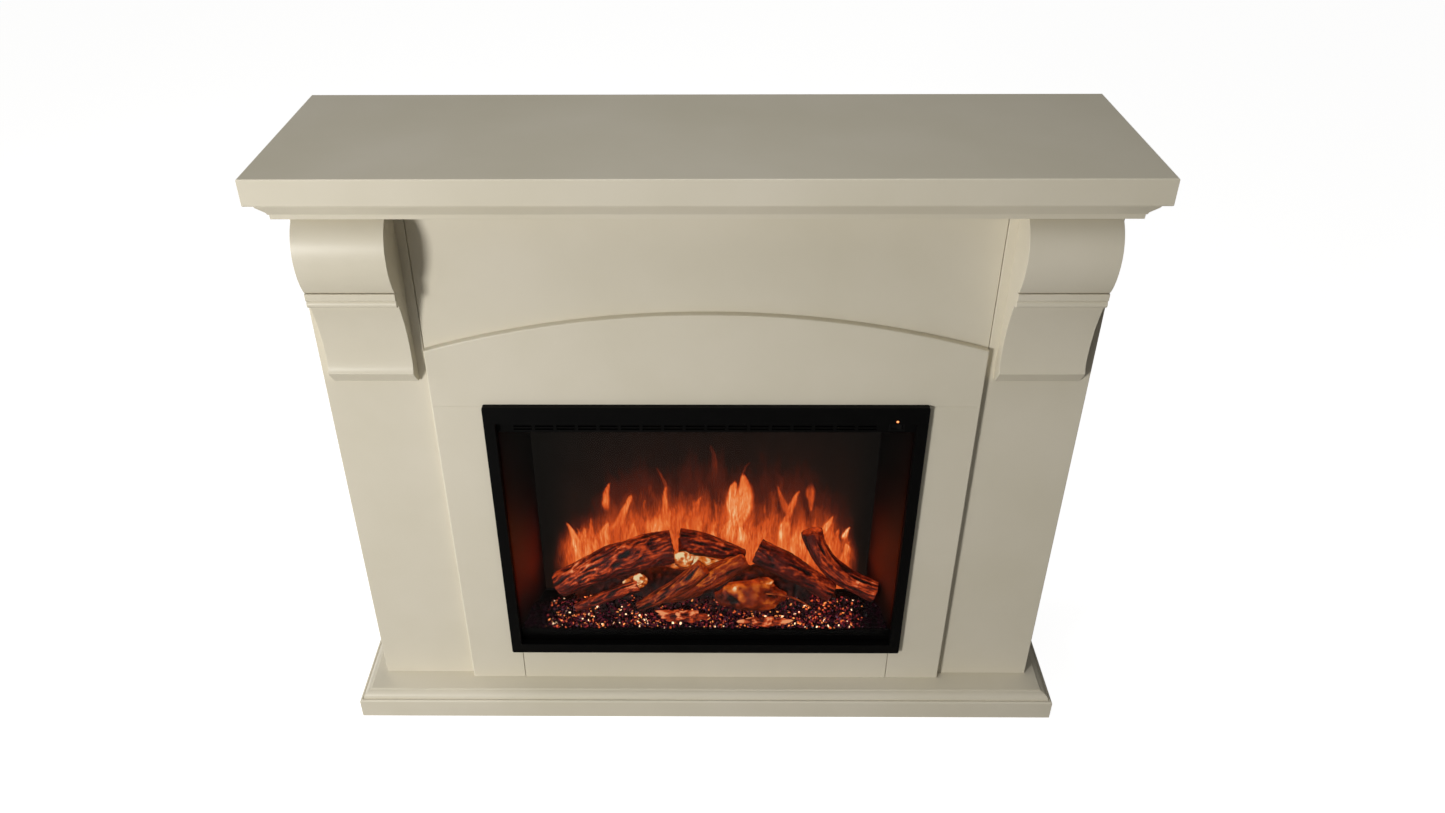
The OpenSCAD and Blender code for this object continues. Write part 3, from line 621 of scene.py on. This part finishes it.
def limb(name, path, radii, slot, seed, stands_for=(), ridge=(8, 46), depth=3.2, glow=0.6,
         sides=72, rings=110, lumpy=0.16, broken=6.0, flatten=1.0):
    """A log as a bar along a bent line, with ridged bark and broken ends. Radii are at its
    first end, middle and last end; ridge is the bark's spacing across and along, in mm."""
    place, direction = bend(path)
    length = (path[2] - path[0]).length
    bm = bmesh.new()
    bmesh.ops.create_cone(bm, segments=sides, radius1=1, radius2=1, depth=1, cap_ends=True)
    upright = [e for e in bm.edges if abs(e.verts[0].co.z - e.verts[1].co.z) > 0.5]
    bmesh.ops.subdivide_edges(bm, edges=upright, cuts=rings - 1, use_grid_fill=True)
    for cap in [f for f in bm.faces if len(f.verts) == sides]:
        for _ in range(5):
            bmesh.ops.inset_individual(bm, faces=[cap], thickness=0.17)
        bmesh.ops.poke(bm, faces=[cap])
    bark, lit = [], []
    for v in bm.verts:
        t, out = v.co.z + 0.5, min(1.0, math.hypot(v.co.x, v.co.y))
        first, middle, last = radii
        r = first * (1 - t) ** 2 + (2 * middle - (first + last) / 2) * 2 * t * (1 - t)
        r = (r + last * t * t) * MM
        turn = 0.6 * t * length / 0.2
        across = Vector((v.co.x * math.cos(turn) - v.co.y * math.sin(turn),
                         v.co.x * math.sin(turn) + v.co.y * math.cos(turn), 0)) * r
        grain = Vector((across.x / ridge[0], across.y / ridge[0], t * length / ridge[1])) / MM
        wobble = Vector((across.x, across.y, t * length)) / (55 * MM)
        warp = noise.noise(wobble * 1.7 + Vector((seed, 4, 1))) * 0.7
        height = noise.ridged_multi_fractal(grain + Vector((warp, warp, seed * 9.7)),
                                            0.9, 2.1, 4, 0.95, 2.0) / 2.2
        height = max(0.0, min(1.0, height))
        swell = noise.noise(wobble + Vector((seed, seed * 2.3, 0))) * lumpy
        side = direction(t).cross(Vector((0, 1, 0))).normalized()
        front = direction(t).cross(side)
        size = r * (1 + swell * out) + (height - 0.55) * depth * MM * out ** 3
        centre = place(t)
        v.co = centre + (side * v.co.x + front * v.co.y * flatten) * size
        if out < 0.99 or t < 0.001 or t > 0.999:
            torn = noise.noise(Vector((across.x, across.y, seed)) / (7 * MM)) * broken
            v.co += direction(t) * torn * MM * (1 if t > 0.5 else -1) * (1.2 - out)
        bark.append(1 - height if out > 0.9 else 0.35 + 0.4 * math.sin(out * 19) ** 2)
        lit.append(glow)
    obj = piece(name, bm, slot, stands_for=stands_for, sharp=70)
    store(obj, "bark", bark)
    store(obj, "glow", lit)
    light_by_place(obj)
    return obj


def store(obj, name, values):
    """Writes one number for each vertex, for a material to read."""
    layer = obj.data.attributes.new(name, "FLOAT", "POINT")
    layer.data.foreach_set("value", np.array(values, np.float32))


# Width of a brighter or darker patch of the logs, in mm
PATCH = 60


def light_by_place(obj):
    """Lets more light through where a log faces up or forward, as the lamps do, and in
    patches."""
    count = len(obj.data.vertices)
    lit, facing = np.zeros(count, np.float32), np.zeros(count * 3, np.float32)
    layer = obj.data.attributes["glow"].data
    layer.foreach_get("value", lit)
    obj.data.vertex_normals.foreach_get("vector", facing)
    up, forward = facing.reshape(-1, 3)[:, 2], -facing.reshape(-1, 3)[:, 1]
    share = np.clip(0.10 + 0.74 * up + 0.46 * forward, 0.0, 1.05)
    patch = np.array([noise.noise(v.co / (PATCH * MM)) for v in obj.data.vertices])
    share *= np.clip(0.98 + 0.75 * patch, 0.5, 1.3)
    layer.foreach_set("value", (lit * share).astype(np.float32))


def lump(name, centre, size, slot, seed, stands_for=(), rough=0.22, cell=22, glow=0.7, turn=0,
         marks=1.0):
    """A rounded, knobbly lump; size is its half extents in mm and marks how dark its hollows
    are painted."""
    bm = bmesh.new()
    bmesh.ops.create_icosphere(bm, subdivisions=5, radius=1)
    spin = Matrix.Rotation(math.radians(turn), 3, "Y")
    bark = []
    for v in bm.verts:
        p = Vector(v.co[i] * size[i] for i in range(3))
        big = noise.fractal(p / cell + Vector((seed, 1, 7)), 1.0, 2.0, 4)
        fine = noise.noise(p / (cell * 0.25) + Vector((seed, 5, 2)))
        v.co = centre + spin @ (p * (1 + rough * big + 0.03 * fine)) * MM
        bark.append(max(0.0, min(1.0, 0.45 - (big * 0.6 + fine * 0.2) * marks)))
    obj = piece(name, bm, slot, stands_for=stands_for, sharp=80)
    store(obj, "bark", bark)
    store(obj, "glow", [glow] * len(bark))
    light_by_place(obj)
    return obj


def logs():
    limb("bark_log", [at("log_large", 0.09, 0.42, 0.17), at("log_large", 0.52, 0.46, 0.55),
                      at("log_large", 0.965, 0.60, 0.74)], (27, 36, 37), "log_resin", 1,
         ["log_large"], ridge=(9, 60), depth=6.5, glow=1.0, sides=110, rings=170)
    limb("rear_log", [at("log_back", -0.03, 0.5, 0.72), at("log_back", 0.48, 0.5, 0.54),
                      at("log_back", 1.07, 0.5, 0.16)], (27, 25, 16), "log_resin", 2,
         ["log_back"], ridge=(8, 40), depth=3.4, glow=0.8)
    limb("fork_limb", [at("log_fork", 0.02, 0.22, 0.06), at("log_fork", 0.32, 0.24, 0.42),
                       at("log_fork", 0.62, 0.40, 0.88)], (10, 18, 20), "log_glow", 3,
         ["log_fork"], ridge=(7, 60), depth=2.8, glow=0.66)
    limb("fork_trunk", [at("log_fork", 0.22, 0.40, 0.16), at("log_fork", 0.62, 0.56, 0.46),
                        at("log_fork", 1.0, 0.76, 0.84)], (16, 28, 15), "log_glow", 4,
         ridge=(8, 70), depth=3.4, glow=0.82)
    limb("charred_log", [at("log_right", 0.12, 0.72, 0.84), at("log_right", 0.5, 0.5, 0.56),
                         at("log_right", 0.96, 0.3, 0.12)], (28, 28, 22), "log_resin", 5,
         ["log_right"], ridge=(9, 40), depth=6.0, glow=0.7)
    limb("upright_log", [at("log_upright", 0.12, 0.78, 0.93), at("log_upright", 0.40, 0.5, 0.44),
                         at("log_upright", 0.97, 0.30, 0.10)], (24, 23, 24), "log_resin", 6,
         ["log_upright"], ridge=(8, 110), depth=4.2, glow=0.95, sides=90, rings=150)
    limb("low_log", [at("log_low", 0.04, 0.3, 0.12), at("log_low", 0.45, 0.45, 0.50),
                     at("log_low", 0.98, 0.7, 0.88)], (8, 13, 14), "log_resin", 7,
         ["log_low"], ridge=(6, 36), depth=2.8, glow=1.0, sides=56, rings=80)
    limb("pale_twig", [at("log_right", 0.20, -0.05, 0.34), at("log_right", 0.48, -0.1, 0.30),
                       at("log_right", 0.72, -0.15, 0.06)], (2.2, 2.2, 1.4), "log_glow", 8,
         ridge=(3, 20), depth=0.4, glow=1.1, sides=12, rings=40, broken=1.0)


logs()


# ---- Lumps, ash and embers ----

def coals():
    lump("large_coal", at("ember_lumps", 0.76, 0.72, 0.50), (80, 32, 37), "log_glow", 21,
         ["ember_lumps"], 0.2, 40, 0.84, marks=0.8)
    lump("coal_cap", at("ember_lumps", 0.83, 0.86, 0.96), (24, 13, 7), "log_glow", 27,
         glow=1.05, marks=0.5)
    lump("pale_knob", at("log_fork", 0.44, 0.62, 0.92), (22, 14, 21), "log_glow", 22,
         rough=0.16, glow=1.7, marks=0.35)
    lump("pale_slab", at("log_fork", 0.50, 0.95, 0.66), (66, 14, 17), "log_glow", 28,
         rough=0.24, cell=30, glow=1.25, marks=0.5)
    lump("pale_chunk", at("log_low", 0.96, 0.9, 0.92), (27, 13, 17), "log_glow", 23,
         rough=0.3, cell=16, glow=1.6, turn=-22, marks=0.5)
    lump("middle_coal", at("ember_lumps", 0.36, 0.28, 0.16), (54, 13, 12), "log_resin", 24,
         rough=0.45, cell=15, glow=1.25)
    lump("front_coal", at("ember_lumps", 0.84, 0.10, 0.14), (50, 9, 10), "log_resin", 25,
         rough=0.45, cell=15, glow=1.35)
    lump("left_coal", at("ember_lumps", 0.06, 0.8, 0.72), (17, 12, 11), "log_resin", 26,
         glow=0.9)


def ash_bank():
    """The moulded bank of ash under the logs: a slope of small clinkers, closed below."""
    low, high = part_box("log_base")
    bm = bmesh.new()
    bmesh.ops.create_grid(bm, x_segments=190, y_segments=40, size=0.5)
    skirt = bmesh.ops.extrude_face_region(bm, geom=bm.faces[:])
    under = [g for g in skirt["geom"] if isinstance(g, bmesh.types.BMVert)]
    lowered = set(under)
    bark = {}
    for v in bm.verts:
        u, d = v.co.x + 0.5, v.co.y + 0.5
        x, y = low.x + (high.x - low.x) * u, low.y + (high.y - low.y) * d
        rise = (high.z - low.z) * (0.04 + 0.8 * math.sin(min(1, d * 1.25) * math.pi / 2) ** 1.4)
        clinker = noise.fractal(Vector((x, y, 0)) / (11 * MM), 0.8, 2.1, 4)
        ends = min(1, (0.5 - abs(u - 0.5)) * 9)
        height = low.z + (rise + clinker * 5 * MM) * ends
        v.co = Vector((x, y, low.z - 1 * MM if v in lowered else max(height, low.z)))
        bark[v] = max(0.0, min(1.0, 0.62 - clinker * 0.6))
    bmesh.ops.recalc_face_normals(bm, faces=bm.faces)
    values = [bark[v] for v in bm.verts]
    obj = piece("ash_bank", bm, "ash_resin", stands_for=["log_base"], sharp=80)
    store(obj, "bark", values)
    store(obj, "glow", [0.34] * len(values))
    light_by_place(obj)


# Tint, light and share of each kind of chip; the first two stay dark
EMBER_TINTS = [("#12070c", 0.0, 34), ("#2a0d1a", 0.2, 26), ("#54192a", 0.5, 19),
               ("#84282a", 0.85, 9), ("#d05a2c", 1.0, 4.5), ("#f0904a", 1.35, 3),
               ("#ffd3a4", 1.9, 1.7), ("#6a4658", 0.3, 4)]


EMBER_COUNT = 6200
# How far from the middle the lamps under the bed reach, in metres
LAMP_REACH = 0.350


def embers():
    """Crushed glass heaped over the bed and up the foot of the ash, each chip with its own
    size, turn, tint and heat."""
    draw = random.Random(5)
    low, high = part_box("ember_bed")
    ash_low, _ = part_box("log_base")
    chip_bm = bmesh.new()
    bmesh.ops.create_icosphere(chip_bm, subdivisions=1, radius=1)
    for v in chip_bm.verts:
        v.co *= 0.72 + 0.5 * draw.random()
    chip = bpy.data.meshes.new("chip")
    chip_bm.to_mesh(chip)
    chip_faces = len(chip_bm.faces)
    chip_bm.free()
    bm = bmesh.new()
    tints, heats = [], []
    shares = [t[2] for t in EMBER_TINTS]
    for _ in range(EMBER_COUNT):
        d = draw.random() ** 1.15
        y = low.y + 3 * MM + (ash_low.y + 26 * MM - low.y) * d
        x = draw.uniform(low.x + 4 * MM, high.x - 4 * MM)
        bank = max(0.0, y - ash_low.y) * 0.9
        spread = 1 - (abs(x) / high.x) ** 8
        z = high.z + bank * spread + draw.uniform(-1, 6 + 5 * d) * MM * (0.4 + 0.6 * spread)
        size = draw.uniform(1.5, 3.5) * MM
        turn = Matrix.Rotation(draw.uniform(0, 6.3), 4, (draw.uniform(-1, 1),
                                                        draw.uniform(-1, 1), draw.random()))
        shape = Matrix.Diagonal((size, size * draw.uniform(0.55, 1),
                                 size * draw.uniform(0.4, 0.8), 1))
        place = Matrix.Translation((x, y, z)) @ turn @ shape
        chip.transform(place)
        bm.from_mesh(chip)
        chip.transform(place.inverted())
        beyond = abs(x) > LAMP_REACH + draw.uniform(-0.03, 0.012)
        code, heat, _ = draw.choices(EMBER_TINTS[:2] if beyond else EMBER_TINTS,
                                     shares[:2] if beyond else shares)[0]
        tints.append(colour(code))
        heats.append(heat * draw.uniform(0.6, 1.2))
    obj = piece("crushed_embers", bm, "ember_resin", stands_for=["ember_bed"], sharp=20)
    tint = obj.data.attributes.new("tint", "FLOAT_COLOR", "FACE")
    tint.data.foreach_set("color", np.repeat(np.array(tints, np.float32), chip_faces, 0).ravel())
    heat = obj.data.attributes.new("lamp_light", "FLOAT", "FACE")
    heat.data.foreach_set("value", np.repeat(np.array(heats, np.float32), chip_faces))
    obj.active_material.cycles.emission_sampling = "NONE"


coals()
ash_bank()
embers()


# ---- Finishes of the CAD nodes that stay ----

for node_name, node in frame["nodes"].items():
    for holder in node.material_slots:
        holder.material = FINISHES[SLOT_OF[node_name]]


# ---- Floor, light and camera ----

def stage_floor():
    """A pale floor, brighter to the eye than the light it throws back."""
    bm = bmesh.new()
    bmesh.ops.create_grid(bm, x_segments=1, y_segments=1, size=30)
    mesh = bpy.data.meshes.new("pale_floor")
    bm.to_mesh(mesh)
    bm.free()
    floor = bpy.data.objects.new("pale_floor", mesh)
    bpy.context.scene.collection.objects.link(floor)
    made, tree, shader = new_material("pale_floor", Base_Color=colour("#a9a7a3"), Roughness=0.9)
    seen = add(tree, "LightPath").outputs["Is Camera Ray"]
    lift = add(tree, "Math", {1: 0.94}, {0: seen}, operation="MULTIPLY")
    shader.inputs["Emission Color"].default_value = colour("#ffffff")
    tree.links.new(lift.outputs[0], shader.inputs["Emission Strength"])
    mesh.materials.append(made)


def soft_light(name, place, target, width, height, watts, tint):
    """A rectangular light that faces a point."""
    light = bpy.data.lights.new(name, "AREA")
    light.shape = "RECTANGLE"
    light.size, light.size_y = width, height
    light.energy = watts
    light.color = colour(tint)[:3]
    holder = bpy.data.objects.new(name, light)
    bpy.context.scene.collection.objects.link(holder)
    holder.location = place
    holder.rotation_euler = (Vector(target) - Vector(place)).to_track_quat("-Z", "Y").to_euler()
    holder.visible_camera = False
    return holder


def studio():
    """A key from the left and front, dim fills from the left and above, and the fire's glow."""
    soft_light("key", (-2.7, -3.72, 1.5), (0, 0, 0.75), 0.75, 0.75, 138, "#fffdfa")
    soft_light("side_fill", (-3.6, 0.1, 1.1), (0, 0, 0.8), 2.0, 2.0, 54, "#f4f7ff")
    soft_light("overhead", (-0.2, -0.4, 3.4), (0, 0, 0.8), 2.4, 2.0, 27, "#fbfaf8")
    low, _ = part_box("flame_screen")
    back = low.y - 6 * MM
    glow = soft_light("fire_glow", (0, back, 0.36), (0, back - 1, 0.36), 0.62, 0.2, 3.0, "#ff6a24")
    glow.visible_glossy = False
    world = bpy.data.worlds.new("studio")
    bpy.context.scene.world = world
    world.use_nodes = True
    tree = world.node_tree
    seen = add(tree, "LightPath").outputs["Is Camera Ray"]
    strength = add(tree, "MapRange", {"To Min": 0.08, "To Max": 1.0}, {"Value": seen})
    back_tree = tree.nodes["Background"]
    back_tree.inputs["Color"].default_value = colour("#fffdf8")
    tree.links.new(strength.outputs[0], back_tree.inputs["Strength"])


CAMERA_PLACE = (-0.0022, -1.9346, 2.0008)
# Degrees that the camera looks down, turns to its left and leans
CAMERA_DOWN, CAMERA_YAW, CAMERA_ROLL = 33.434, 0.607, -0.29


def main_camera():
    """Looks down on the fireplace from a standing height in front of it."""
    lens = bpy.data.cameras.new("camera")
    lens.sensor_width = 36
    lens.lens = 28.164
    lens.shift_x = 0.0194
    lens.clip_start, lens.clip_end = 0.05, 100
    camera = bpy.data.objects.new("camera", lens)
    bpy.context.scene.collection.objects.link(camera)
    down, yaw, roll = (math.radians(a) for a in (CAMERA_DOWN, CAMERA_YAW, CAMERA_ROLL))
    camera.matrix_world = (Matrix.Translation(CAMERA_PLACE)
                           @ Matrix.Rotation(yaw, 4, "Z")
                           @ Matrix.Rotation(math.radians(90) - down, 4, "X")
                           @ Matrix.Rotation(roll, 4, "Z"))
    bpy.context.scene.camera = camera


stage_floor()
studio()
main_camera()
bpy.context.scene.view_settings.view_transform = "Standard"
